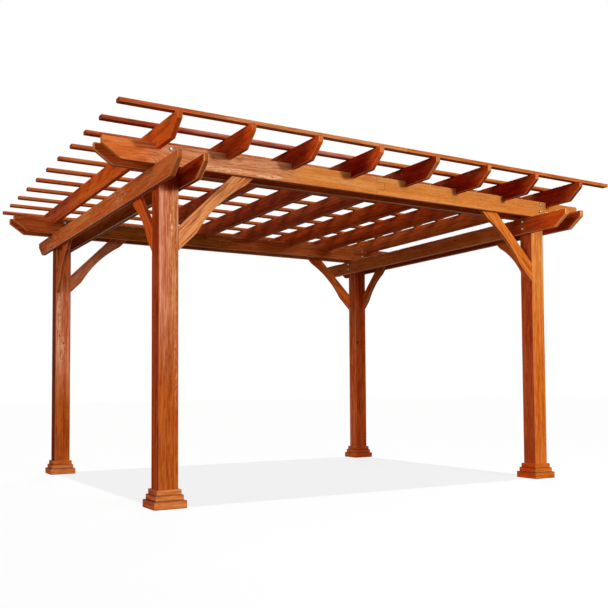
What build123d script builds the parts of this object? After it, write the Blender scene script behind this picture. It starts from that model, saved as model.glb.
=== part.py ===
from build123d import *
from math import sqrt
import os

# Garden pergola of dressed timber, in millimetres.
# X runs along the headers, Y along the rafters, +Z up.
# The origin is on the ground, midway between the four posts.

# Posts
post_size = 140
post_spacing_x = 3416
post_spacing_y = 2800

# Stepped trim round the foot of each post, from the ground up
trim_low_width = 228
trim_mid_width = 196
trim_top_width = 172
trim_low_height = 53
trim_mid_height = 36
trim_top_height = 36

# Side beams, in pairs along Y on the outer and inner faces of the posts.
# An overhang is measured out from the outer face of the end posts.
beam_thickness = 38
beam_depth = 140
beam_overhang = 427
beam_clear_height = 2137

# Headers, in pairs along X, standing on the side beams
header_thickness = 38
header_depth = 140
header_overhang = 397

# Rafters along Y, notched down over every header
rafter_thickness = 38
rafter_depth = 150
rafter_overhang = 427
rafter_count = 8
rafter_notch_depth = 40

# Shade slats along X, laid on the rafters and overhanging the end ones
slat_width = 58
slat_height = 27
slat_overhang = 359
slat_count = 11
slat_setback = 37

# Clipped tail at both ends of beams, headers and rafters
tail_nose_height = 50
tail_clip_run = 128

# Knee braces at 45 degrees, with an arch cut into the underside.
# The drop is from the bottom of the side beams to the heel on the post.
brace_thickness = 38
brace_width = 115
brace_drop = 420
brace_upper_shoulder = 52
header_brace_lower_shoulder = 132
header_brace_arch_rise = 35
beam_brace_lower_shoulder = 92
beam_brace_arch_rise = 28

# Levels and faces that follow from the sizes above
beam_top = beam_clear_height + beam_depth
header_top = beam_top + header_depth
rafter_bottom = header_top - rafter_notch_depth
rafter_top = rafter_bottom + rafter_depth
post_half = post_size / 2
post_x = post_spacing_x / 2
post_y = post_spacing_y / 2

sides_x = {"left": -1, "right": 1}
sides_y = {"front": -1, "rear": 1}

# Faces of the boards that clasp the posts
outer_beam_face = post_x + post_half
inner_beam_face = post_x - post_half
outer_header_face = post_y + post_half
inner_header_face = post_y - post_half

# Overall lengths and the height of the brace heels
beam_length = 2 * (outer_header_face + beam_overhang)
header_length = 2 * (outer_beam_face + header_overhang)
rafter_length = 2 * (outer_header_face + rafter_overhang)
slat_length = 2 * (outer_beam_face + rafter_thickness + slat_overhang)
brace_heel = beam_clear_height - brace_drop


def keep(shape, node):
    export_step(shape, f"parts/{node}.step")


def block(size_x, size_y, size_z, x, y, z):
    """Box centred on x and y, standing on z."""
    box = Box(size_x, size_y, size_z, align=(Align.CENTER, Align.CENTER, Align.MIN))
    return Pos(x, y, z) * box


def on_edge(face, plane, thickness):
    """Board cut to an outline that lies in the plane, half its thickness to each side."""
    return extrude(plane * face, amount=thickness / 2, both=True)


def clipped_outline(length, depth):
    """Side view of a board from z 0 to its depth, with both lower corners clipped."""
    end = length / 2
    clip = end - tail_clip_run
    nose = depth - tail_nose_height
    points = [(-end, depth), (-end, nose), (-clip, 0), (clip, 0), (end, nose), (end, depth)]
    return make_face(Polyline(*points, close=True))


def make_post(x, y):
    return block(post_size, post_size, header_top, x, y, 0)


def make_base_trim(x, y):
    steps = [
        (trim_low_width, trim_low_height),
        (trim_mid_width, trim_mid_height),
        (trim_top_width, trim_top_height),
    ]
    trim = None
    level = 0
    for width, height in steps:
        step = block(width, width, height, x, y, level)
        trim = step if trim is None else trim + step
        level += height
    return trim - block(post_size, post_size, level, x, y, 0)


def make_side_beam(x):
    plane = Plane(origin=(x, 0, beam_clear_height), x_dir=(0, 1, 0), z_dir=(1, 0, 0))
    return on_edge(clipped_outline(beam_length, beam_depth), plane, beam_thickness)


def make_header(y):
    plane = Plane(origin=(0, y, beam_top), x_dir=(1, 0, 0), z_dir=(0, -1, 0))
    return on_edge(clipped_outline(header_length, header_depth), plane, header_thickness)


def header_centres():
    """Places of the header boards across Y, from front to rear."""
    inner = inner_header_face - header_thickness / 2
    outer = outer_header_face + header_thickness / 2
    return {"front_outer": -outer, "front_inner": -inner, "rear_inner": inner, "rear_outer": outer}


def make_rafter(x):
    outline = clipped_outline(rafter_length, rafter_depth)
    for y in header_centres().values():
        notch = Rectangle(header_thickness, rafter_notch_depth, align=(Align.CENTER, Align.MIN))
        outline -= Pos(y, 0) * notch
    plane = Plane(origin=(x, 0, rafter_bottom), x_dir=(0, 1, 0), z_dir=(1, 0, 0))
    return on_edge(outline, plane, rafter_thickness)


def make_slat(y):
    return block(slat_length, slat_width, slat_height, 0, y, rafter_top)


def brace_outline(board_bottom, brace_top, lower_shoulder, arch_rise):
    """Side view of a brace: first axis out from the post, second axis up.

    The foot is cut plumb against the post and the head is cut level.
    Between two straight shoulders the underside is an arc.
    """
    plumb_cut = brace_width * sqrt(2)
    arch_start = lower_shoulder
    arch_end = board_bottom - brace_heel - brace_upper_shoulder
    rise = Vector(-1, 1).normalized() * arch_rise
    start = Vector(arch_start, brace_heel + arch_start)
    end = Vector(arch_end, brace_heel + arch_end)
    crown = (start + end) / 2 + rise
    head_low = Vector(brace_top - brace_heel, brace_top)
    head_high = head_low - Vector(plumb_cut, 0)
    heel = Vector(0, brace_heel)
    edges = [
        Line(heel, start),
        ThreePointArc(start, crown, end),
        Line(end, head_low),
        Line(head_low, head_high),
        Line(head_high, heel + Vector(0, plumb_cut)),
        Line(heel + Vector(0, plumb_cut), heel),
    ]
    return make_face(edges)


def make_header_brace(side_x, side_y):
    """Brace along X, against the outer header and flush with the post's outer face."""
    y = side_y * (outer_header_face - brace_thickness / 2)
    outline = brace_outline(
        beam_top, rafter_bottom, header_brace_lower_shoulder, header_brace_arch_rise
    )
    plane = Plane(
        origin=(side_x * inner_beam_face, y, 0), x_dir=(-side_x, 0, 0), z_dir=(0, side_x, 0)
    )
    return on_edge(outline, plane, brace_thickness)


def make_beam_brace(side_x, side_y):
    """Brace along Y, against the outer side beam and flush with the post's outer face."""
    x = side_x * (outer_beam_face - brace_thickness / 2)
    outline = brace_outline(
        beam_clear_height, beam_top, beam_brace_lower_shoulder, beam_brace_arch_rise
    )
    plane = Plane(
        origin=(x, side_y * inner_header_face, 0), x_dir=(0, -side_y, 0), z_dir=(-side_y, 0, 0)
    )
    return on_edge(outline, plane, brace_thickness)


def spread(first, last, count):
    """Evenly spaced places from first to last."""
    return [first + (last - first) * index / (count - 1) for index in range(count)]


os.makedirs("parts", exist_ok=True)

for name_x, side_x in sides_x.items():
    for name_y, side_y in sides_y.items():
        corner = f"{name_y}_{name_x}"
        keep(make_post(side_x * post_x, side_y * post_y), f"post_{corner}")
        keep(make_base_trim(side_x * post_x, side_y * post_y), f"base_trim_{corner}")
        keep(make_header_brace(side_x, side_y), f"header_brace_{corner}")
        keep(make_beam_brace(side_x, side_y), f"beam_brace_{corner}")
    outer_x = side_x * (outer_beam_face + beam_thickness / 2)
    inner_x = side_x * (inner_beam_face - beam_thickness / 2)
    keep(make_side_beam(outer_x), f"side_beam_{name_x}_outer")
    keep(make_side_beam(inner_x), f"side_beam_{name_x}_inner")

for name, y in header_centres().items():
    keep(make_header(y), f"header_{name}")

# The end rafters lie against the outer faces of the posts
end_rafter_x = outer_beam_face + rafter_thickness / 2
for number, x in enumerate(spread(-end_rafter_x, end_rafter_x, rafter_count), start=1):
    keep(make_rafter(x), f"rafter_{number}")

end_slat_y = rafter_length / 2 - slat_setback - slat_width / 2
for number, y in enumerate(spread(-end_slat_y, end_slat_y, slat_count), start=1):
    keep(make_slat(y), f"slat_{number}")
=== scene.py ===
import math
import random
from collections import namedtuple
from itertools import accumulate

import bmesh
import bpy
from mathutils import Matrix, Vector


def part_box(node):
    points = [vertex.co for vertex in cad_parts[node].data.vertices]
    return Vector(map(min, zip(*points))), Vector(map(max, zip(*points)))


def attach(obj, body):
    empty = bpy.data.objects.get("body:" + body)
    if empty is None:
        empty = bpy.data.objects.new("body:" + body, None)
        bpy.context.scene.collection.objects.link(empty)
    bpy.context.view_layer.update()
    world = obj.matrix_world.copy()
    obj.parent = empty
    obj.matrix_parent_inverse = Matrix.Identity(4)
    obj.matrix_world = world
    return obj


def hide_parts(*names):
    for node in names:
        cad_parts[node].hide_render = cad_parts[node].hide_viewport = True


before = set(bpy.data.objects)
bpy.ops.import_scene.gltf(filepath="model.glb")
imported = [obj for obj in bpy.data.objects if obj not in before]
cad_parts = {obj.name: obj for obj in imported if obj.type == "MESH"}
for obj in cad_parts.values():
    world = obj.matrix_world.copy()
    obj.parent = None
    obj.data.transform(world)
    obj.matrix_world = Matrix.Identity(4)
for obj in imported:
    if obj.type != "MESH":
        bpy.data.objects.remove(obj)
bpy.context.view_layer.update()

ALONG_X = Vector((1, 0, 0))
ALONG_Y = Vector((0, 1, 0))
UPRIGHT = Vector((0, 0, 1))
CORNERS = {
    "front_left": (-1, -1),
    "front_right": (1, -1),
    "rear_left": (-1, 1),
    "rear_right": (1, 1),
}
RAFTER_COUNT = sum(node.startswith("rafter_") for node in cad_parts)
SLAT_COUNT = sum(node.startswith("slat_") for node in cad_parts)


# Shader sums

class Shade:
    """An output socket of a node tree. Sums on it add Math nodes."""

    def __init__(self, tree, socket=None):
        self.tree = tree
        self.socket = socket

    def node(self, kind, settings=None, inputs=None, output=0):
        """A new node: its settings are set first, then its sockets get values or links."""
        new = self.tree.nodes.new(kind)
        for name, value in (settings or {}).items():
            setattr(new, name, value)
        for name, value in (inputs or {}).items():
            if isinstance(value, Shade):
                self.tree.links.new(value.socket, new.inputs[name])
            else:
                new.inputs[name].default_value = value
        return Shade(self.tree, new.outputs[output] if new.outputs else None)

    def also(self, output):
        """Another output of the same node."""
        return Shade(self.tree, self.socket.node.outputs[output])

    def math(self, operation, first, second=0.0):
        return self.node("ShaderNodeMath", {"operation": operation}, {0: first, 1: second})

    def __add__(self, other):
        return self.math("ADD", self, other)

    def __radd__(self, other):
        return self.math("ADD", other, self)

    def __sub__(self, other):
        return self.math("SUBTRACT", self, other)

    def __rsub__(self, other):
        return self.math("SUBTRACT", other, self)

    def __mul__(self, other):
        return self.math("MULTIPLY", self, other)

    def __rmul__(self, other):
        return self.math("MULTIPLY", other, self)

    def __truediv__(self, other):
        return self.math("DIVIDE", self, other)

    def __rtruediv__(self, other):
        return self.math("DIVIDE", other, self)

    def __pow__(self, other):
        return self.math("POWER", self, other)

    def __abs__(self):
        return self.math("ABSOLUTE", self)

    def sine(self):
        return self.math("SINE", self)

    def fraction(self):
        return self.math("FRACT", self)

    def smaller(self, other):
        return self.math("MINIMUM", self, other)

    def larger(self, other):
        return self.math("MAXIMUM", self, other)

    def below(self, limit):
        return self.math("LESS_THAN", self, limit)

    def beyond(self, limit):
        return self.math("GREATER_THAN", self, limit)

    def vector(self, operation, other, output=0):
        return self.node("ShaderNodeVectorMath", {"operation": operation}, {0: self, 1: other}, output)

    def ramp(self, low, high, to_low=0.0, to_high=1.0):
        """Smooth step from low to high, clamped outside."""
        return self.node(
            "ShaderNodeMapRange",
            {"interpolation_type": "SMOOTHSTEP"},
            {"Value": self, "From Min": low, "From Max": high, "To Min": to_low, "To Max": to_high},
        )

    def noise(self, along, across, detail, roughness):
        """Noise read at this place, with so many waves a metre along the first axis and across it."""
        place = self.vector("MULTIPLY", (along, across, across))
        inputs = {"Vector": place, "Scale": 1.0, "Detail": detail, "Roughness": roughness}
        return self.node("ShaderNodeTexNoise", {}, inputs)

    def between(self, first, second):
        """The colour that lies this share of the way from the first to the second."""
        return self.node("ShaderNodeMix", {"data_type": "RGBA"}, {0: self, 6: first, 7: second}, 2)

    def mix(self, other, share):
        """This colour, with a share of another."""
        return share.between(self, other)

    def layered(self, layers):
        """This colour under layers of stain.

        A layer is its tone, its pattern, where in the pattern it starts and is full, and its strength.
        """
        colour = self
        for tone, pattern, none, full, strength in layers:
            colour = colour.mix(tone, pattern.ramp(none, full) * strength)
        return colour


def stain(red, green, blue):
    """A colour given as screen values from 0 to 255."""
    linear = []
    for value in (red, green, blue):
        part = value / 255
        linear.append(part / 12.92 if part <= 0.04045 else ((part + 0.055) / 1.055) ** 2.4)
    return (*linear, 1.0)


def new_material(name):
    material = bpy.data.materials.new(name)
    material.use_nodes = True
    material.node_tree.nodes.clear()
    return material, Shade(material.node_tree)


def surface(start, shader):
    start.node("ShaderNodeOutputMaterial", {}, {"Surface": shader})


# Stains of the timbers: pale, middle and deep
PINK_CEDAR = (stain(236, 170, 138), stain(208, 122, 84), stain(166, 80, 46))
ROSE_CEDAR = (stain(226, 144, 96), stain(200, 96, 46), stain(152, 62, 24))
BLUSH_CEDAR = (stain(234, 172, 126), stain(206, 120, 70), stain(158, 76, 38))
TAN_CEDAR = (stain(226, 156, 98), stain(204, 112, 52), stain(160, 74, 28))
HONEY_CEDAR = (stain(230, 160, 86), stain(212, 126, 50), stain(174, 88, 30))
GOLD_CEDAR = (stain(224, 136, 54), stain(206, 104, 28), stain(168, 70, 16))
COPPER_CEDAR = (stain(232, 146, 80), stain(212, 106, 46), stain(164, 70, 26))
AMBER_CEDAR = (stain(216, 126, 64), stain(194, 92, 38), stain(146, 58, 20))
ORANGE_CEDAR = (stain(240, 124, 46), stain(226, 94, 24), stain(180, 58, 14))
MAUVE_CEDAR = (stain(228, 152, 130), stain(202, 110, 86), stain(152, 62, 42))
CORAL_CEDAR = (stain(236, 162, 122), stain(214, 116, 72), stain(166, 74, 40))
SAND_CEDAR = (stain(238, 170, 108), stain(220, 124, 64), stain(156, 72, 30))
WHEAT_CEDAR = (stain(214, 148, 92), stain(192, 108, 52), stain(148, 70, 28))
APRICOT_CEDAR = (stain(240, 160, 92), stain(226, 122, 56), stain(180, 84, 34))
OLIVE_CEDAR = (stain(196, 124, 54), stain(164, 92, 32), stain(112, 60, 18))
FLAME_CEDAR = (stain(248, 138, 54), stain(240, 110, 30), stain(164, 54, 14))
BRICK_CEDAR = (stain(218, 112, 58), stain(192, 80, 36), stain(140, 48, 18))
RUSSET_CEDAR = (stain(206, 100, 44), stain(178, 68, 24), stain(124, 38, 12))
MAHOGANY_CEDAR = (stain(176, 72, 34), stain(150, 48, 18), stain(100, 28, 10))
TOFFEE_CEDAR = (stain(208, 116, 48), stain(184, 82, 24), stain(136, 52, 12))
BRONZE_CEDAR = (stain(212, 132, 58), stain(188, 98, 34), stain(140, 62, 18))
COCOA_CEDAR = (stain(204, 106, 64), stain(174, 76, 44), stain(122, 44, 24))
UMBER_CEDAR = (stain(140, 60, 28), stain(110, 36, 14), stain(72, 20, 8))
CRIMSON_CEDAR = (stain(164, 48, 22), stain(132, 24, 10), stain(86, 13, 6))
HONEY_END = HONEY_CEDAR[1]
RUSSET_END = RUSSET_CEDAR[2]
KNOT_HEART = stain(84, 32, 14)
JOINT_DARK = stain(70, 28, 12)
# Pale painted highlight along the arrises
ARRIS_HIGHLIGHT = stain(230, 164, 106)
FLECK = stain(240, 188, 142)

# Patterns in the timber: waves a metre along and across the log, detail and roughness
SWAY = (0.55, 1.2, 1.0, 0.5)
LEAN = (0.8, 1.6, 1.0, 0.5)
ROLL = (2.4, 8.0, 1.0, 0.4)
RIPPLE = (4.5, 16.0, 3.0, 0.6)
CLOUDS = (1.6, 6.0, 2.0, 0.5)
BANDS = (0.50, 13.0, 2.0, 0.55)
STREAKS = (1.0, 42.0, 3.0, 0.65)
MOTTLE = (9.0, 46.0, 3.0, 0.6)
SPECKS = (24.0, 76.0, 3.0, 0.65)
GRAIN = (5.0, 88.0, 2.0, 0.6)
FIBRE = (3.0, 190.0, 2.0, 0.6)
PORES = (14.0, 520.0, 1.0, 0.5)

# How far apart in the patterns two boards lie, and the two halves of a jointed board
LOG_SHIFT = 40
LOG_JUMP = (5, 20)

# Mid-span joints: half length and half height of the tongue, and how dark the line is
Joint = namedtuple("Joint", "reach tall dark")
TONGUE = Joint(reach=0.037, tall=0.027, dark=0.28)
BUTT = Joint(reach=0.0, tall=0.0, dark=0.85)
LINE_RIM, LINE_HEART = 0.0036, 0.0010
OUT_OF_REACH = 9.0

LENGTH, WIDTH, DEPTH = 0, 1, 2


class Board:
    """Where a point of a board's surface lies on the board, and in the log that it was cut from."""

    def __init__(self, start, along, wide, centre, chance, joint):
        self.thick = along.cross(wide)
        turn = Matrix((along, wide, self.thick)).transposed().to_euler()
        where = start.node("ShaderNodeTexCoord", output="Object")
        mapped = {"Vector": where, "Location": centre, "Rotation": turn}
        place = start.node("ShaderNodeMapping", {"vector_type": "TEXTURE"}, mapped)
        self.length = place.node("ShaderNodeSeparateXYZ", {}, {0: place})
        self.width = self.length.also(WIDTH)
        self.depth = self.length.also(DEPTH)
        self.normal = start.node("ShaderNodeNewGeometry", output="True Normal")
        self.log = place.vector("ADD", [chance.uniform(-LOG_SHIFT, LOG_SHIFT) for _ in range(3)])
        if joint:
            self.cut(joint, [chance.uniform(*LOG_JUMP) for _ in range(3)])
        self.ripple = self.log.noise(*RIPPLE) - 0.5
        self.clouds = self.log.noise(*CLOUDS)

    def cut(self, joint, jump):
        """Finds the fine line of a joint, past which the board is cut from another log."""
        upright = abs(self.width)
        within = upright.below(joint.tall)
        tongue = within * self.length.below(joint.reach)
        past = self.length.beyond(-joint.reach) * (1.0 - tongue)
        moved = self.log.node("ShaderNodeVectorMath", {"operation": "SCALE"}, {0: jump, "Scale": past})
        self.log = self.log.vector("ADD", moved)
        root = abs(self.length + joint.reach) + OUT_OF_REACH * within
        tip = abs(self.length - joint.reach) + OUT_OF_REACH * upright.beyond(joint.tall)
        cheek = abs(upright - joint.tall) + OUT_OF_REACH * abs(self.length).beyond(joint.reach)
        self.joint_line = root.smaller(tip).smaller(cheek).ramp(LINE_RIM, LINE_HEART)

    def away(self, at, over, half_long, half_wide):
        """Square of the distance from a place on the board, in half sizes."""
        from_length = (self.length - at) / half_long
        from_width = (self.width - over) / half_wide
        return from_length * from_length + from_width * from_width

    def patch(self, spot, heart):
        """A ragged patch: 1 in its heart, falling to 0 past its rim."""
        return (self.away(*spot) + self.ripple * 1.5).ramp(1.3, heart)

    def facing(self, axis):
        """How squarely the surface faces along an axis, from 0 to 1."""
        return abs(self.normal.vector("DOT_PRODUCT", axis, "Value"))


def shift_tones(tones, new_tones, share):
    return [share.between(old, new) for old, new in zip(tones, new_tones)]


def growth_rings(board, chance, half_width, ring, wave, swells, knots):
    """The dark late wood of the rings, and the hearts and rims of the knots."""

    # The heart of the log wanders beside the board, and the log tapers
    heart_wide = chance.uniform(-0.6, 0.6) * half_width
    heart_deep = chance.choice((-1, 1)) * chance.uniform(0.03, 0.09)
    taper = chance.choice((-1, 1)) * chance.uniform(0.010, 0.024)
    sway = board.log.noise(*SWAY) - 0.5
    lean = board.log.noise(*LEAN) - 0.5
    roll = board.log.noise(*ROLL) - 0.5
    across = board.width - heart_wide + sway * 0.16
    under = board.depth - heart_deep + lean * 0.10
    radius = (across * across + under * under) ** 0.5
    radius = radius + board.length * taper + board.ripple * 0.012 + roll * wave
    for *spot, lift in swells:
        radius = radius + lift / (1.0 + board.away(*spot))

    # Knots push the rings aside
    hearts = 0.0
    rims = 0.0
    for at, over, size in knots:
        off = board.away(at, over, size * 1.5, size) ** 0.5
        radius = radius + size * 0.9 / (1.0 + off * off)
        hearts = off.ramp(1.15, 0.75) + hearts
        rims = off.ramp(2.1, 0.9) * (0.55 + 0.45 * (off * 13.0).sine()) + rims

    layer = (radius / ring).fraction()
    late = layer ** 2.2 * layer.ramp(1.0, 0.86)
    return late, hearts, rims


def timber(name, along, wide, centre, half_width, seed, tones, blends=(), flank_tones=None,
           end_tone=None, clip_share=0.0, ring=0.009, wave=0.016, figure=0.5, calm=(), lines=0.6,
           swells=(), knots=(), streaks=(), flecked=(), shade_seams=(), rub=0.5, joint=None):
    """Stained cedar with rings, fibre, knots, mid-span joint and a pale painted highlight along the arrises.

    along and wide are the directions of the board's length and width, measured from its centre.
    half_width is half the width of the board, or of the trim that it belongs to.
    A blend is an axis, where it starts and ends there, and the tones past it.
    flank_tones are those of the two narrow sides, partly painted light and shade;
    end_tone is that of the sawn ends; the clipped corners take it too, or darken by clip_share as painted
    shade.
    ring is the width of a ring, wave how far the rings wander and figure their strength.
    The rings fade away over each calm, along the length; lines is the strength of the straight grain.
    A swell is where the rings nest: along, across, half length, half width and lift.
    A knot is its place along and across the board and its radius.
    A streak is a pale place, and a flecked place has pale flecks: each is along, across,
    half length, half width and strength. shade_seams are places across the width with a dark line, partly
    painted shade.
    rub is the strength of the pale painted highlight, and of the coat, along the arrises.
    """
    chance = random.Random(seed)
    material, start = new_material(name)
    board = Board(start, along, wide, centre, chance, joint)

    # Tones that change over the board, and on its flanks, where they stand partly for painted light and
    # shade
    measures = (board.length + board.ripple * 0.15, board.width + board.ripple * 0.02, board.depth)
    for axis, low, high, new_tones in blends:
        tones = shift_tones(tones, new_tones, measures[axis].ramp(low, high))
    if flank_tones:
        flank = abs(board.width).ramp(half_width - 0.005, half_width - 0.001)
        tones = shift_tones(tones, flank_tones, flank)
    pale, middle, deep = tones

    late, knot_hearts, knot_rims = growth_rings(board, chance, half_width, ring, wave, swells, knots)
    bands = board.log.noise(*BANDS)
    streaky = board.log.noise(*STREAKS)
    mottle = board.log.noise(*MOTTLE)
    specks = board.log.noise(*SPECKS)
    grain = board.log.noise(*GRAIN)
    fibre = board.log.noise(*FIBRE)
    pores = board.log.noise(*PORES)

    # Broad bands and pale streaks, with the rings over them
    light = bands.ramp(0.38, 0.72)
    for *spot, strength in streaks:
        light = light.larger(board.patch(spot, 0.4) * strength)
    rings = late * figure
    for low, high in calm:
        rings = rings * board.length.ramp(low, high, 1.0, 0.2)
    colour = light.between(middle, pale).mix(deep, rings)

    # Clouds, straight grain and mottle, then pale flecks, then fibre and pores
    coarse_layers = (
        (deep, board.clouds, 0.52, 0.80, 0.40),
        (deep, streaky, 0.52, 0.70, lines),
        (pale, streaky, 0.46, 0.30, lines * 0.8),
        (deep, mottle, 0.53, 0.68, 0.50),
        (pale, mottle, 0.47, 0.33, 0.50),
        (deep, grain, 0.53, 0.66, lines * 0.9),
        (pale, grain, 0.47, 0.34, lines),
    )
    fine_layers = (
        (deep, fibre, 0.50, 0.78, 0.36),
        (pale, fibre, 0.46, 0.22, 0.22),
        (deep, pores, 0.66, 0.80, 0.40),
    )
    dusting = board.clouds.ramp(0.50, 0.36) * 0.12
    for *spot, strength in flecked:
        dusting = dusting + board.patch(spot, 0.3) * strength
    flecks = (specks + mottle).ramp(0.98, 1.18) * dusting
    colour = colour.layered(coarse_layers).mix(FLECK, flecks).layered(fine_layers)

    # Knots, sawn ends, clipped corners darkened as painted shade, and seams with dark lines that are partly
    # painted shade
    if knots:
        colour = colour.mix(deep, knot_rims.smaller(1.0) * 0.75)
        colour = colour.mix(KNOT_HEART, knot_hearts.smaller(1.0) * 0.85)
    if end_tone:
        sawn = board.facing(along)
        first = 0.80 if clip_share else 0.35
        colour = colour.mix(end_tone, sawn.ramp(first, first + 0.15) * (0.75 - late * 0.3))
        # The clipped faces darken towards the deep tone: painted shade
        if clip_share:
            colour = colour.mix(deep, sawn.ramp(0.35, 0.50) * sawn.ramp(0.85, 0.72) * clip_share)
    for at in shade_seams:
        colour = colour.mix(JOINT_DARK, abs(board.width - at).ramp(0.007, 0.002) * 0.6)

    # A pale painted highlight along the arrises, and stain gathered in the joint
    flat = board.facing(board.thick)
    arris = flat.ramp(0.06, 0.30) * flat.ramp(0.995, 0.95)
    if joint:
        arris = arris * (1.0 - board.joint_line)
    colour = colour.mix(ARRIS_HIGHLIGHT, arris * board.clouds.ramp(0.20, 0.55) * rub)
    if joint:
        colour = colour.mix(JOINT_DARK, board.joint_line * joint.dark)

    rise = late * 0.5 + fibre * 0.5 - pores.ramp(0.62, 0.80) * 0.6
    relief = start.node("ShaderNodeBump", {}, {"Strength": 0.35, "Distance": 0.0012, "Height": rise})
    body = {
        "Base Color": colour,
        "Roughness": 0.56 + fibre * 0.16 + late * 0.10,
        "Normal": relief,
        "IOR": 1.05,
        "Coat Weight": arris * (rub * 0.8),
        "Coat Roughness": 0.30,
    }
    surface(start, start.node("ShaderNodeBsdfPrincipled", {}, body))
    return material


# Boards with eased arrises
BOARD_EASE, POST_EASE, SLAT_EASE, TRIM_EASE = 0.007, 0.006, 0.004, 0.0025
MERGE_GAP = 1e-5
FLAT_ANGLE = math.radians(1)
ARRIS_ANGLE = math.radians(25)

# Groove along a joint, and how near counts as on a cut, on its line, at its bottom and on a broad face
GROOVE_HALF, GROOVE_DEPTH = 0.0013, 0.0014
ON_CUT, ON_LINE, ON_BOTTOM = 1e-6, 1e-5, 2e-4
FACE_ON = 0.99


def soften(bm, edges, offset, segments):
    bmesh.ops.bevel(bm, geom=edges, offset=offset, offset_type="OFFSET", affect="EDGES",
                    segments=segments, profile=0.5, material=-1, clamp_overlap=True)


def ease_arrises(bm, ease):
    """Takes the sharp outer edges of a bmesh off."""
    bmesh.ops.remove_doubles(bm, verts=bm.verts, dist=MERGE_GAP)
    bmesh.ops.dissolve_limit(bm, angle_limit=FLAT_ANGLE, verts=bm.verts, edges=bm.edges)
    arrises = []
    for edge in bm.edges:
        if len(edge.link_faces) == 2 and edge.is_convex and edge.calc_face_angle() > ARRIS_ANGLE:
            arrises.append(edge)
    soften(bm, arrises, ease, segments=4)


def groove_joint(bm, centre, along, wide, joint):
    """Presses the fine line of a mid-span joint into the faces of a board."""
    thick = along.cross(wide)
    for side in (-1, 1):
        whole = bm.verts[:] + bm.edges[:] + bm.faces[:]
        bmesh.ops.bisect_plane(bm, geom=whole, dist=ON_CUT, plane_no=along,
                               plane_co=centre + along * side * joint.reach)
    for side in (-1, 1):
        bm.normal_update()
        strip = [face for face in bm.faces
                 if abs((face.calc_center_median() - centre).dot(along)) < joint.reach
                 and abs(face.normal.dot(thick)) > FACE_ON]
        edges = dict.fromkeys(edge for face in strip for edge in face.edges)
        verts = dict.fromkeys(vert for face in strip for vert in face.verts)
        if strip:
            bmesh.ops.bisect_plane(bm, geom=[*strip, *edges, *verts], dist=ON_CUT, plane_no=wide,
                                   plane_co=centre + wide * side * joint.tall)

    def on_joint(vert, near):
        """Whether a vertex lies on the root, the tip and the cheeks of the tongue."""
        at = (vert.co - centre).dot(along)
        over = abs((vert.co - centre).dot(wide))
        root = abs(at + joint.reach) < near and over > joint.tall - near
        tip = abs(at - joint.reach) < near and over < joint.tall + near
        cheek = abs(over - joint.tall) < near and abs(at) < joint.reach + near
        return [root, tip, cheek and joint.reach > 0]

    line = []
    for edge in bm.edges:
        first, second = [on_joint(vert, ON_LINE) for vert in edge.verts]
        if any(one and two for one, two in zip(first, second)):
            line.append(edge)
    soften(bm, line, GROOVE_HALF, segments=2)
    bm.normal_update()
    bottom = [vert for vert in bm.verts if any(on_joint(vert, ON_BOTTOM))]
    for vert in bottom:
        vert.co -= vert.normal * GROOVE_DEPTH


def paint(verts, index):
    """Gives the faces round some vertices one of their piece's materials."""
    for vert in verts:
        for face in vert.link_faces:
            face.material_index = index


def keep_piece(bm, name, materials, nodes=()):
    """Makes a bmesh a piece of the object."""
    mesh = bpy.data.meshes.new(name)
    bm.to_mesh(mesh)
    bm.free()
    for material in materials:
        mesh.materials.append(material)
    piece = bpy.data.objects.new(name, mesh)
    bpy.context.scene.collection.objects.link(piece)
    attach(piece, "root")
    if nodes:
        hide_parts(*nodes)


def eased_board(node, slot, along, wide, seed, tones, ease=BOARD_EASE, joint=None, **looks):
    """A CAD board with its arrises eased, its joint cut and its own piece of timber."""
    bm = bmesh.new()
    bm.from_mesh(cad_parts[node].data)
    centre = Vector()
    spans = []
    for axis in (along, wide, along.cross(wide)):
        reaches = [vert.co.dot(axis) for vert in bm.verts]
        centre += axis * (min(reaches) + max(reaches)) / 2
        spans.append(max(reaches) - min(reaches))
    wood = timber(f"{node}_cedar", along, wide, centre, spans[WIDTH] / 2, seed, tones, joint=joint, **looks)
    ease_arrises(bm, ease)
    if joint:
        groove_joint(bm, centre, along, wide, joint)
    paint(bm.verts, 0)
    keep_piece(bm, f"{node}_board", [wood], [node])


# Posts
POST_SEED = 11
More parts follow.
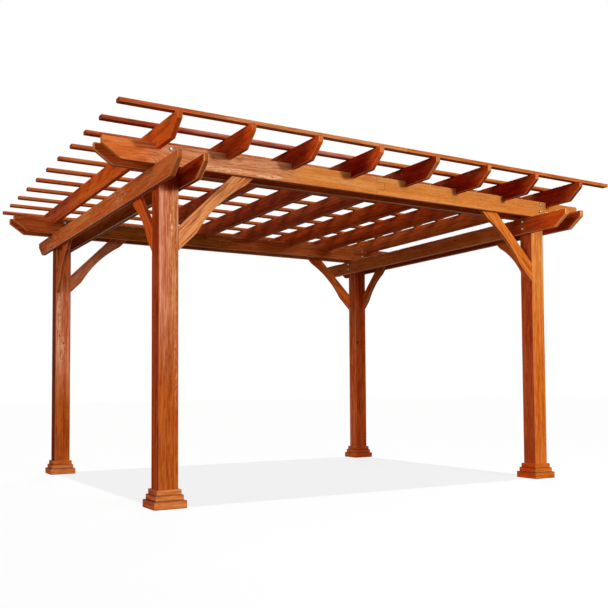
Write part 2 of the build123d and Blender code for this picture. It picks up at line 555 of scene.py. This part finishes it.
# The flank tones of the posts stand partly for painted light and shade on their sides
POST_LOOKS = {
    "front_left": {
        "tones": PINK_CEDAR, "flank_tones": RUSSET_CEDAR,
        # The last blend darkens the top of the post under the headers and beam ends: a painted shadow
        "blends": ((WIDTH, -0.016, 0.004, BLUSH_CEDAR), (LENGTH, 0.30, -0.45, TOFFEE_CEDAR),
                   (LENGTH, 0.88, 0.96, MAHOGANY_CEDAR)),
        "streaks": ((0.35, -0.056, 0.45, 0.008, 0.9), (-0.05, -0.030, 0.35, 0.006, 0.9),
                    (-0.45, -0.045, 0.25, 0.008, 0.5), (-0.75, 0.02, 0.3, 0.008, 0.6)),
        "flecked": ((0.73, 0.018, 0.14, 0.014, 1.1), (0.45, 0.030, 0.40, 0.040, 0.25),
                    (-0.20, 0.050, 0.40, 0.014, 0.35)),
    },
    "front_right": {
        "tones": GOLD_CEDAR, "flank_tones": BRICK_CEDAR,
        "blends": ((LENGTH, -0.1, 0.8, HONEY_CEDAR),),
        "streaks": ((0.45, -0.050, 0.70, 0.012, 0.9), (-0.3, 0.02, 0.5, 0.010, 0.7)),
    },
    "rear_left": {
        "tones": TOFFEE_CEDAR, "flank_tones": UMBER_CEDAR,
        "blends": ((LENGTH, -0.60, -0.1, CORAL_CEDAR), (LENGTH, 0.45, 0.70, AMBER_CEDAR)),
        "knots": ((0.10, -0.033, 0.006), (0.03, 0.006, 0.006)),
        "streaks": ((0.27, -0.044, 0.24, 0.016, 1.0), (0.50, -0.010, 0.16, 0.010, 0.9),
                    (-0.1, 0.045, 0.6, 0.010, 0.8)),
        "flecked": ((0.27, -0.044, 0.24, 0.018, 2.4), (0.0, -0.02, 0.22, 0.04, 0.9)),
    },
    "rear_right": {
        "tones": RUSSET_CEDAR, "flank_tones": ROSE_CEDAR, "rub": 0.05,
        "knots": ((0.12, -0.045, 0.010),),
    },
}
for number, (corner, looks) in enumerate(POST_LOOKS.items()):
    looks = {"rub": 0.25, **looks}
    eased_board(f"post_{corner}", "post_timber", UPRIGHT, ALONG_X, POST_SEED + number, ease=POST_EASE,
                ring=0.013, **looks)

# Side beams
BEAM_SEED = 31
BEAM_LOOKS = {
    "left_outer": {
        "tones": COPPER_CEDAR, "end_tone": stain(144, 78, 26),
        "blends": ((LENGTH, -1.0, -0.5, APRICOT_CEDAR), (LENGTH, 0.5, 1.2, AMBER_CEDAR),
                   (LENGTH, 1.4, 1.75, COCOA_CEDAR)),
        "flecked": ((-0.72, 0.0, 0.16, 0.08, 0.9), (0.0, 0.02, 0.3, 0.05, 0.3),
                    (1.4, 0.0, 0.4, 0.07, 0.5)),
    },
    "left_inner": {
        "tones": RUSSET_CEDAR, "end_tone": stain(166, 94, 42), "rub": 0.8,
        "blends": ((LENGTH, -1.80, -1.45, MAHOGANY_CEDAR), (LENGTH, -1.4, -1.1, OLIVE_CEDAR)),
    },
    "right_outer": {
        "tones": COPPER_CEDAR, "end_tone": stain(196, 148, 84),
        # The inner face is darker and redder: painted shade
        "blends": ((DEPTH, -0.012, -0.016, RUSSET_CEDAR),),
    },
    "right_inner": {
        "tones": ORANGE_CEDAR, "end_tone": stain(208, 134, 68), "lines": 0.35, "rub": 0.9,
        "knots": ((-0.49, 0.02, 0.007),),
        "blends": ((LENGTH, -1.85, -1.55, RUSSET_CEDAR), (LENGTH, -1.35, -0.90, APRICOT_CEDAR)),
    },
}
for number, (place, looks) in enumerate(BEAM_LOOKS.items()):
    eased_board(f"side_beam_{place}", "beam_timber", ALONG_Y, UPRIGHT, BEAM_SEED + number, joint=TONGUE,
                **looks)

# Headers: the front one runs from copper through wild pinkish figure to plain honey
HEADER_SEED = 51
HEADER_LOOKS = {
    "front_outer": {
        "tones": COPPER_CEDAR, "lines": 0.25, "ring": 0.017, "wave": 0.070, "figure": 0.9, "rub": 0.2,
        "calm": ((-0.95, -0.6), (-1.90, -2.02)),
        "blends": ((LENGTH, -1.95, -1.70, BLUSH_CEDAR), (LENGTH, -0.95, -0.65, HONEY_CEDAR)),
        "streaks": ((-1.27, -0.042, 0.30, 0.020, 1.0), (-0.98, -0.046, 0.14, 0.016, 0.9)),
        "swells": ((-1.90, -0.03, 0.16, 0.07, 0.08), (-1.10, -0.05, 0.16, 0.05, 0.05),
                   (-0.90, 0.03, 0.20, 0.05, 0.04)),
        "flecked": ((0.3, 0.0, 1.8, 0.09, 0.15), (-1.28, -0.046, 0.22, 0.020, 1.8),
                    (-1.00, -0.050, 0.12, 0.022, 1.8)),
    },
    "front_inner": {
        "tones": AMBER_CEDAR, "rub": 1.0,
        "blends": ((LENGTH, -1.8, -1.5, TOFFEE_CEDAR),),
    },
    "rear_inner": {
        "tones": COPPER_CEDAR,
        "blends": ((LENGTH, -1.9, -1.7, OLIVE_CEDAR), (LENGTH, -0.3, 0.3, AMBER_CEDAR)),
    },
    "rear_outer": {
        "tones": AMBER_CEDAR,
        "blends": ((LENGTH, -0.3, 0.3, TAN_CEDAR),),
    },
}
for number, (place, looks) in enumerate(HEADER_LOOKS.items()):
    eased_board(f"header_{place}", "beam_timber", ALONG_X, UPRIGHT, HEADER_SEED + number, joint=TONGUE,
                end_tone=HONEY_END, **looks)

# Rafters, from bright orange on the left to deep red on the right, partly painted light on the lit left one
# and
# painted shade on the shaded right ones; most of them darkest over the front headers, as painted shade:
# nose, shoulder over the headers (painted shade), inside (partly painted shade), rear, sawn end (darker on
# the first two as painted shade), share of painted shade on the clips, strength of the painted arris
# highlight
RAFTER_SEED = 70
RAFTER_LOOKS = (
    (FLAME_CEDAR, FLAME_CEDAR, FLAME_CEDAR, COCOA_CEDAR, stain(146, 72, 46), 0.8, 0.1),
    (ORANGE_CEDAR, RUSSET_CEDAR, AMBER_CEDAR, AMBER_CEDAR, stain(150, 90, 58), 0.35, 0.1),
    (ORANGE_CEDAR, MAHOGANY_CEDAR, COCOA_CEDAR, COCOA_CEDAR, stain(182, 120, 60), 0.3, 0.3),
    (ORANGE_CEDAR, CRIMSON_CEDAR, COCOA_CEDAR, COCOA_CEDAR, stain(188, 120, 70), 0.3, 0.3),
    (MAHOGANY_CEDAR, CRIMSON_CEDAR, COCOA_CEDAR, COCOA_CEDAR, stain(184, 122, 68), 0.0, 0.3),
    (RUSSET_CEDAR, CRIMSON_CEDAR, RUSSET_CEDAR, RUSSET_CEDAR, stain(198, 150, 86), 0.3, 0.3),
    (RUSSET_CEDAR, CRIMSON_CEDAR, RUSSET_CEDAR, RUSSET_CEDAR, stain(196, 120, 80), 0.8, 0.3),
    (RUSSET_CEDAR, CRIMSON_CEDAR, AMBER_CEDAR, AMBER_CEDAR, stain(176, 84, 56), 0.8, 0.3),
)
for number, rafter_looks in enumerate(RAFTER_LOOKS, start=1):
    nose, shoulder_shade, inside_shade, rear, end_tone, clip_share, rub = rafter_looks
    stages = ((LENGTH, -1.89, -1.67, shoulder_shade), (LENGTH, -1.44, -1.32, inside_shade),
              (LENGTH, 0.1, 1.0, rear), (LENGTH, 1.60, 1.86, nose))
    eased_board(f"rafter_{number}", "rafter_timber", ALONG_Y, UPRIGHT, RAFTER_SEED + number, nose,
                blends=stages, flank_tones=inside_shade, end_tone=end_tone, clip_share=clip_share, lines=0.4,
                rub=rub)

# Shade slats: tones at the left end, left of the joint and right of it. The last row serves the rest
SLAT_SEED = 90
SLAT_TONES = (
    (AMBER_CEDAR, WHEAT_CEDAR, BRONZE_CEDAR),
    (COCOA_CEDAR, MAUVE_CEDAR, GOLD_CEDAR),
    (ROSE_CEDAR, COPPER_CEDAR, BRONZE_CEDAR),
    (COPPER_CEDAR, COPPER_CEDAR, BRONZE_CEDAR),
)
# A pale streak beside each slat's joint
JOINT_PALE_STREAK = ((-0.026, 0.0, 0.024, 0.06, 1.0),)
SLAT_KNOTS = {1: ((-0.40, 0.006, 0.008), (-0.97, 0.006, 0.008))}
for number in range(1, SLAT_COUNT + 1):
    left, middle, right = SLAT_TONES[min(number, len(SLAT_TONES)) - 1]
    stages = ((LENGTH, -1.75, -1.45, middle), (LENGTH, -0.4, 0.4, right))
    eased_board(f"slat_{number}", "slat_timber", ALONG_X, ALONG_Y, SLAT_SEED + number, left, blends=stages,
                ease=SLAT_EASE, joint=BUTT, end_tone=RUSSET_END, rub=0.3, streaks=JOINT_PALE_STREAK,
                knots=SLAT_KNOTS.get(number, ()))

# Knee braces at 45 degrees: tones of the one along the header and the one along the side beam
HEADER_BRACE_SEED = 120
BEAM_BRACE_SEED = 130
SLOPE = math.sqrt(0.5)
BRACE_TONES = {
    "front_left": (SAND_CEDAR, ORANGE_CEDAR),
    "front_right": (GOLD_CEDAR, AMBER_CEDAR),
    "rear_left": (CORAL_CEDAR, AMBER_CEDAR),
    "rear_right": (FLAME_CEDAR, AMBER_CEDAR),
}
for number, (corner, (side_x, side_y)) in enumerate(CORNERS.items()):
    header_tones, beam_tones = BRACE_TONES[corner]
    rise_x = Vector((-side_x * SLOPE, 0, SLOPE))
    rise_y = Vector((0, -side_y * SLOPE, SLOPE))
    flat_x = Vector((side_x * SLOPE, 0, SLOPE))
    flat_y = Vector((0, side_y * SLOPE, SLOPE))
    eased_board(f"header_brace_{corner}", "brace_timber", rise_x, flat_x, HEADER_BRACE_SEED + number,
                header_tones, ring=0.016, wave=0.05, figure=0.7, lines=0.85)
    eased_board(f"beam_brace_{corner}", "brace_timber", rise_y, flat_y, BEAM_BRACE_SEED + number, beam_tones)

# Base trims: three steps, each of four mitred boards. A step is its width and height
TRIM_SEED = 140
TRIM_STEPS = ((0.228, 0.053), (0.196, 0.036), (0.172, 0.036))
TRIM_LEVELS = list(accumulate((height for width, height in TRIM_STEPS), initial=0.0))
# Dark lines where the steps meet each other and the floor: joints, partly painted shade in the corners
TRIM_SHADE_SEAMS = [level - TRIM_LEVELS[-1] / 2 for level in TRIM_LEVELS[:-1]]
TRIM_RUNS = {"across": ALONG_X, "back": ALONG_Y}
TRIM_TONES = {
    "front_left": (APRICOT_CEDAR, ROSE_CEDAR),
    "front_right": (GOLD_CEDAR, ORANGE_CEDAR),
    "rear_left": (APRICOT_CEDAR, AMBER_CEDAR),
    "rear_right": (RUSSET_CEDAR, AMBER_CEDAR),
}
post_low, post_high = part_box("post_rear_right")
POST_SIZE = post_high.x - post_low.x


def trim_board(bm, width, height, quarter, place):
    """One mitred board of a step, on one of the four sides of the post."""
    board = (width - POST_SIZE) / 2
    made = bmesh.ops.create_cube(bm, size=1)["verts"]
    bmesh.ops.scale(bm, verts=made, vec=(width, board, height))
    inner = [vert for vert in made if vert.co.y > 0]
    bmesh.ops.scale(bm, verts=inner, vec=(POST_SIZE / width, 1, 1))
    bmesh.ops.translate(bm, verts=made, vec=(0, (board - width) / 2, height / 2))
    turn = Matrix.Rotation(quarter * math.pi / 2, 3, "Z")
    bmesh.ops.rotate(bm, verts=made, cent=(0, 0, 0), matrix=turn)
    bmesh.ops.translate(bm, verts=made, vec=place)
    paint(made, quarter % len(TRIM_RUNS))
    edges = dict.fromkeys(edge for vert in made for edge in vert.link_edges)
    soften(bm, list(edges), TRIM_EASE, segments=3)


for number, corner in enumerate(CORNERS):
    low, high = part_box(f"base_trim_{corner}")
    foot = (low + high) / 2
    half = (high - low) / 2
    woods = []
    for side, (run, along) in enumerate(TRIM_RUNS.items()):
        seed = TRIM_SEED + number * len(TRIM_RUNS) + side
        woods.append(timber(f"base_trim_{corner}_cedar_{run}", along, UPRIGHT, foot, half.y, seed,
                            TRIM_TONES[corner][side], shade_seams=TRIM_SHADE_SEAMS, rub=0.25))
    bm = bmesh.new()
    for (width, height), level in zip(TRIM_STEPS, TRIM_LEVELS):
        for quarter in range(4):
            trim_board(bm, width, height, quarter, (foot.x, foot.y, low.z + level))
    keep_piece(bm, f"base_trim_{corner}_boards", woods, [f"base_trim_{corner}"])


# Bolts and screws

def plated_steel(name, colour, rough):
    """Zinc-plated steel, a little cloudy and grimy."""
    material, start = new_material(name)
    where = start.node("ShaderNodeTexCoord", output="Object")
    cloudy = where.noise(160.0, 160.0, 3.0, 0.6)
    grime = where.noise(420.0, 420.0, 2.0, 0.5)
    tint = (cloudy.ramp(0.35, 0.75) * 0.4).between(colour, stain(205, 203, 198))
    tint = tint.mix(stain(58, 48, 40), grime.ramp(0.58, 0.78) * 0.5)
    body = {"Base Color": tint, "Metallic": 0.45, "Roughness": rough + cloudy * 0.2}
    surface(start, start.node("ShaderNodeBsdfPrincipled", {}, body))
    return material


BRIGHT_ZINC = plated_steel("bright_zinc", stain(214, 210, 202), 0.26)
WORN_ZINC = plated_steel("worn_zinc", stain(140, 124, 108), 0.42)
DULL_ZINC = plated_steel("dull_zinc", stain(74, 64, 56), 0.40)

# Fasteners are stacks of turned parts. metal is the place in the set's list of metals
Turned = namedtuple("Turned", "radius height sides crown lift metal", defaults=(0.0, 0))
WASHER = Turned(radius=0.0140, height=0.0025, sides=24, crown=0.0008, metal=1)
HEX_HEAD = Turned(radius=0.0090, height=0.0065, sides=6, crown=0.0014, lift=0.0025)
HEX_NUT = Turned(radius=0.0090, height=0.0070, sides=6, crown=0.0013, lift=0.0025)
THREAD_END = Turned(radius=0.0045, height=0.0120, sides=12, crown=0.0011, lift=0.0025)
THIN_WASHER = Turned(radius=0.0120, height=0.0015, sides=20, crown=0.0006, metal=1)
DOME = Turned(radius=0.0085, height=0.0055, sides=20, crown=0.0042, lift=0.0010, metal=2)
SCREW_COLLAR = Turned(radius=0.0075, height=0.0008, sides=12, crown=0.0004, metal=1)
SCREW_TOP = Turned(radius=0.0052, height=0.0025, sides=12, crown=0.0014)
BOLT_HEAD = (WASHER, HEX_HEAD)
BOLT_NUT = (WASHER, HEX_NUT, THREAD_END)
DOME_HEAD = (THIN_WASHER, DOME)
SCREW_HEAD = (SCREW_COLLAR, SCREW_TOP)

# Places of the fasteners: out from the centre line of the post, and up from the lower edge of the board
BEAM_BOLTS = ((0.005, 0.108), (0.005, 0.047))
HEADER_BOLTS = ((0.002, 0.113), (0.002, 0.053))
HEADER_SCREWS = ((-0.678, 0.089), (-0.636, 0.089), (0.120, 0.009))
BEAM_SCREWS = ((-0.543, 0.085), (-0.508, 0.068))
post_centre = (post_low + post_high) / 2
beam_low, beam_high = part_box("side_beam_right_outer")
header_low, header_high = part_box("header_rear_outer")
inner_beam_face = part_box("side_beam_right_inner")[0].x
inner_header_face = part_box("header_rear_inner")[0].y


def fasten(bm, at, out, fastener):
    """Stands a fastener on a face: each part is a prism with its top rim rounded."""
    for part in fastener:
        middle = part.lift + part.height / 2
        stand = Matrix.Translation(at + out * middle)
        stand = stand @ out.to_track_quat("Z", "Y").to_matrix().to_4x4()
        made = bmesh.ops.create_cone(bm, cap_ends=True, segments=part.sides, radius1=part.radius,
                                     radius2=part.radius, depth=part.height, matrix=stand)["verts"]
        paint(made, part.metal)
        top = [vert for vert in made if (vert.co - at).dot(out) > middle]
        rim = dict.fromkeys(edge for vert in top for edge in vert.link_edges
                            if edge.other_vert(vert) in top)
        soften(bm, list(rim), part.crown, segments=2)


def on_beam(sides, face, place):
    """A place on a face of a side beam."""
    out, up = place
    return Vector((sides[0] * face, sides[1] * (post_centre.y + out), beam_low.z + up))


def on_header(sides, face, place):
    """A place on a face of a header."""
    out, up = place
    return Vector((sides[0] * (post_centre.x + out), sides[1] * face, header_low.z + up))


beam_bolts = bmesh.new()
header_bolts = bmesh.new()
brace_screws = bmesh.new()
for sides in CORNERS.values():
    out_x = ALONG_X * sides[0]
    out_y = ALONG_Y * sides[1]
    for place in BEAM_BOLTS:
        fasten(beam_bolts, on_beam(sides, beam_high.x, place), out_x, DOME_HEAD)
        fasten(beam_bolts, on_beam(sides, inner_beam_face, place), -out_x, BOLT_NUT)
    for place in HEADER_BOLTS:
        fasten(header_bolts, on_header(sides, header_high.y, place), out_y, BOLT_HEAD)
        fasten(header_bolts, on_header(sides, inner_header_face, place), -out_y, BOLT_NUT)
    for place in HEADER_SCREWS:
        fasten(brace_screws, on_header(sides, header_high.y, place), out_y, SCREW_HEAD)
    for place in BEAM_SCREWS:
        fasten(brace_screws, on_beam(sides, beam_high.x, place), out_x, SCREW_HEAD)
keep_piece(beam_bolts, "beam_bolts", [BRIGHT_ZINC, DULL_ZINC, WORN_ZINC])
keep_piece(header_bolts, "header_bolts", [BRIGHT_ZINC, DULL_ZINC])
keep_piece(brace_screws, "brace_screws", [WORN_ZINC, DULL_ZINC])

# A screw through every slat into every rafter
slat_screws = bmesh.new()
for slat in range(1, SLAT_COUNT + 1):
    slat_low, slat_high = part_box(f"slat_{slat}")
    for rafter in range(1, RAFTER_COUNT + 1):
        rafter_low, rafter_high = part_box(f"rafter_{rafter}")
        at = (slat_low + slat_high) / 2
        at.x = (rafter_low.x + rafter_high.x) / 2
        at.z = slat_high.z
        fasten(slat_screws, at, UPRIGHT, SCREW_HEAD)
keep_piece(slat_screws, "slat_screws", [WORN_ZINC, DULL_ZINC])


# Camera, fitted to corner points of the photograph
IMAGE_SIDE = 608
FOCAL_PIXELS = 831.24
CENTRE_PIXEL = (318.08, 353.25)
SENSOR_WIDTH = 36
EYE = Vector((-3.69285, -6.71022, 0.76944))
YAW, PITCH, ROLL_ANGLE = 0.54008, 0.04520, -0.00662
ahead = Vector((math.sin(YAW) * math.cos(PITCH), math.cos(YAW) * math.cos(PITCH), math.sin(PITCH)))
sideways = Vector((math.cos(YAW), -math.sin(YAW), 0))
above = sideways.cross(ahead)
picture_right = math.cos(ROLL_ANGLE) * sideways + math.sin(ROLL_ANGLE) * above
picture_up = math.cos(ROLL_ANGLE) * above - math.sin(ROLL_ANGLE) * sideways
lens = bpy.data.cameras.new("photo_camera")
lens.sensor_width = SENSOR_WIDTH
lens.lens = SENSOR_WIDTH * FOCAL_PIXELS / IMAGE_SIDE
lens.shift_x = (IMAGE_SIDE / 2 - CENTRE_PIXEL[0]) / IMAGE_SIDE
lens.shift_y = (CENTRE_PIXEL[1] - IMAGE_SIDE / 2) / IMAGE_SIDE
camera = bpy.data.objects.new("photo_camera", lens)
bpy.context.scene.collection.objects.link(camera)
aim = Matrix((picture_right, picture_up, -ahead)).transposed().to_4x4()
camera.matrix_world = Matrix.Translation(EYE) @ aim
bpy.context.scene.camera = camera

# Key light in front, to the right and a little above the headers
KEY_PLACE = Vector((1.7, -8.5, 2.85))
KEY_AIM = Vector((-0.6, -0.5, 1.9))
KEY_SIZE = 0.7
KEY_POWER = 310
key = bpy.data.lights.new("key", "AREA")
key.shape = "DISK"
key.size = KEY_SIZE
key.energy = KEY_POWER
key_object = bpy.data.objects.new("key", key)
key_object.location = KEY_PLACE
key_object.rotation_euler = (KEY_PLACE - KEY_AIM).to_track_quat("Z", "Y").to_euler()
bpy.context.scene.collection.objects.link(key_object)

# Broad fills, a warm one from the left, one from the front and one from behind on the right:
# where it comes from, strength, colour and how many degrees it spreads
FILLS = {
    "left_fill": ((-0.9, -0.38, 0.14), 1.45, (1.0, 0.68, 0.56), 24),
    "front_fill": ((0.10, -0.95, 0.17), 0.60, (1.0, 0.90, 0.80), 16),
    "rear_fill": ((0.45, 0.80, 0.60), 1.60, (1.0, 0.92, 0.84), 25),
}
for name, (towards, strength, colour, spread) in FILLS.items():
    fill = bpy.data.lights.new(name, "SUN")
    fill.energy = strength
    fill.color = colour
    fill.angle = math.radians(spread)
    fill_object = bpy.data.objects.new(name, fill)
    fill_object.rotation_euler = Vector(towards).to_track_quat("Z", "Y").to_euler()
    bpy.context.scene.collection.objects.link(fill_object)


def seen_rays(start):
    """1 for what is seen or mirrored, and 0 for light that only bounces."""
    ray = start.node("ShaderNodeLightPath", output="Is Camera Ray")
    return (ray + ray.also("Is Glossy Ray") + ray.also("Is Transmission Ray")).smaller(1.0)


# Low surrounding light, white where it is seen or mirrored
SURROUND = {"Color": (1.0, 0.84, 0.72, 1), "Strength": 0.18}
BACKDROP = {"Color": (1, 1, 1, 1), "Strength": 1.0}
world = bpy.data.worlds.new("studio")
world.use_nodes = True
world.node_tree.nodes.clear()
sky = Shade(world.node_tree)
soft = sky.node("ShaderNodeBackground", {}, SURROUND)
white = sky.node("ShaderNodeBackground", {}, BACKDROP)
studio = sky.node("ShaderNodeMixShader", {}, {0: seen_rays(sky), 1: soft, 2: white})
sky.node("ShaderNodeOutputWorld", {}, {"Surface": studio})
bpy.context.scene.world = world

# White floor with a shadow painted under the roof and a faint cast shadow, which returns little light
FLOOR_HALF = 60
FLOOR_DROP = 0.0005
SHADOW_HALF_X, SHADOW_HALF_Y, SHADOW_RIM = 1.80, 1.50, 0.06
OPEN_GLOW = (0.93, 0.93, 0.93, 1)
SHADOW_GLOW = (0.82, 0.82, 0.82, 1)
SEEN_GREY = (0.10, 0.11, 0.12, 1)
BOUNCED_GREY = (0.16, 0.15, 0.14, 1)
floor_material, floor_start = new_material("studio_floor")
spot = floor_start.node("ShaderNodeTexCoord", output="Object")
spot_x = spot.node("ShaderNodeSeparateXYZ", {}, {0: spot})
spot_y = spot_x.also(1)
shadow_x = abs(spot_x).ramp(SHADOW_HALF_X, SHADOW_HALF_X - SHADOW_RIM)
shadow_y = abs(spot_y).ramp(SHADOW_HALF_Y, SHADOW_HALF_Y - SHADOW_RIM)
glow_colour = (shadow_x * shadow_y).between(OPEN_GLOW, SHADOW_GLOW)
glow = floor_start.node("ShaderNodeEmission", {}, {"Color": glow_colour, "Strength": 1.0})
faint = floor_start.node("ShaderNodeBsdfDiffuse", {}, {"Color": SEEN_GREY})
pale_floor = floor_start.node("ShaderNodeAddShader", {}, {0: glow, 1: faint})
dull_floor = floor_start.node("ShaderNodeBsdfDiffuse", {}, {"Color": BOUNCED_GREY})
floor_sides = {0: seen_rays(floor_start), 1: dull_floor, 2: pale_floor}
surface(floor_start, floor_start.node("ShaderNodeMixShader", {}, floor_sides))
ground = bmesh.new()
bmesh.ops.create_grid(ground, x_segments=4, y_segments=4, size=FLOOR_HALF)
bmesh.ops.translate(ground, verts=ground.verts, vec=(0, 0, -FLOOR_DROP))
ground_mesh = bpy.data.meshes.new("floor")
ground.to_mesh(ground_mesh)
ground.free()
ground_mesh.materials.append(floor_material)
floor = bpy.data.objects.new("floor", ground_mesh)
bpy.context.scene.collection.objects.link(floor)

bpy.context.scene.view_settings.view_transform = "Standard"
